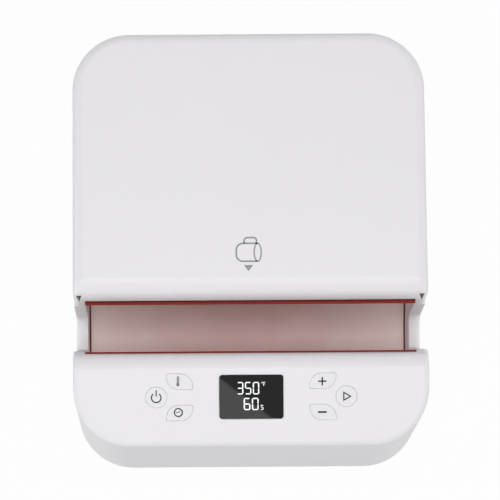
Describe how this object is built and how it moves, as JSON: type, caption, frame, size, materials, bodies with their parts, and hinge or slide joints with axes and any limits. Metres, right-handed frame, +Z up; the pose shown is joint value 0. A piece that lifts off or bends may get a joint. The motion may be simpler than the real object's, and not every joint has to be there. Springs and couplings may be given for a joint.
{
  "type": "mug heat press",
  "caption": "Motorised mug heat press: tub with sloped control deck, heated wrap round a mug cavity, and a lid that slides back with the rear half.",
  "frame": {"origin": "middle of the footprint, on the table under the feet", "axes": "+X to the user's right, +Y from the user to the back, +Z up"},
  "size_m": [0.1762, 0.2068, 0.126],
  "materials": {
    "white_plastic": "smooth satin white moulding",
    "button_plastic": "smooth satin white moulding with grey symbols",
    "grey_plastic": "fine matt texture",
    "black_plastic": "fine matt texture",
    "black_glass": "polished display window",
    "rubber": "matt rubber",
    "red_silicone": "matt silicone with a fine weave",
    "pink_cloth": "coated glass cloth, dusty pink",
    "aluminium": "brushed sheet",
    "steel": "ground bar",
    "dark_steel": "plated can",
    "brass": "turned",
    "circuit_board": "solder mask"
  },
  "bodies": {
    "base": {"body_shell": "white_plastic", "base_plate": "grey_plastic", "foot_front_left": "rubber", "foot_front_right": "rubber", "foot_rear_left": "rubber", "foot_rear_right": "rubber", "mains_inlet": "black_plastic", "power_board": "circuit_board", "front_jaw": "aluminium", "front_mat": "red_silicone", "front_lining": "pink_cloth", "guide_rod_left": "steel", "guide_rod_right": "steel", "front_rod_block": "grey_plastic", "rear_bearing_block": "grey_plastic", "gear_motor": "dark_steel", "display_window": "black_glass", "display_module": "black_plastic", "control_board": "circuit_board"},
    "carriage": {"lid": "white_plastic", "rear_jaw": "aluminium", "rear_mat": "red_silicone", "rear_lining": "pink_cloth", "carriage_bracket": "aluminium", "guide_bush_left": "brass", "guide_bush_right": "brass", "lead_nut": "brass"},
    "screw": {"lead_screw": "steel", "screw_gear": "brass"},
    "rotor": {"motor_shaft": "steel", "motor_gear": "black_plastic"},
    "power_key": {"power_button": "button_plastic"},
    "temperature_key": {"temperature_button": "button_plastic"},
    "timer_key": {"timer_button": "button_plastic"},
    "plus_key": {"plus_button": "button_plastic"},
    "minus_key": {"minus_button": "button_plastic"},
    "start_key": {"start_button": "button_plastic"}
  },
  "joints": [
    {"name": "carriage_slide", "type": "slide", "parent": "base", "child": "carriage", "axis": [0, 1, 0], "range_m": [0, 0.062]},
    {"name": "screw_spin", "type": "hinge", "parent": "base", "child": "screw", "pos_m": [0, 0, 0.016], "axis": [0, 1, 0], "range_deg": [-2791, 0]},
    {"name": "motor_spin", "type": "hinge", "parent": "base", "child": "rotor", "pos_m": [0.02178, 0, 0.024], "axis": [0, 1, 0], "range_deg": [0, 1256]},
    {"name": "power_press", "type": "slide", "parent": "base", "child": "power_key", "axis": [0, 0.2222, -0.975], "range_m": [0, 0.0006], "stiffness_N_per_m": 900},
    {"name": "temperature_press", "type": "slide", "parent": "base", "child": "temperature_key", "axis": [0, 0.2222, -0.975], "range_m": [0, 0.0006], "stiffness_N_per_m": 900},
    {"name": "timer_press", "type": "slide", "parent": "base", "child": "timer_key", "axis": [0, 0.2222, -0.975], "range_m": [0, 0.0006], "stiffness_N_per_m": 900},
    {"name": "plus_press", "type": "slide", "parent": "base", "child": "plus_key", "axis": [0, 0.2222, -0.975], "range_m": [0, 0.0006], "stiffness_N_per_m": 900},
    {"name": "minus_press", "type": "slide", "parent": "base", "child": "minus_key", "axis": [0, 0.2222, -0.975], "range_m": [0, 0.0006], "stiffness_N_per_m": 900},
    {"name": "start_press", "type": "slide", "parent": "base", "child": "start_key", "axis": [0, 0.2222, -0.975], "range_m": [0, 0.0006], "stiffness_N_per_m": 900}
  ],
  "couplings": [
    {"joint": "screw_spin", "follows": "carriage_slide", "rad_per_m": -785.4},
    {"joint": "motor_spin", "follows": "carriage_slide", "rad_per_m": 353.43}
  ]
}
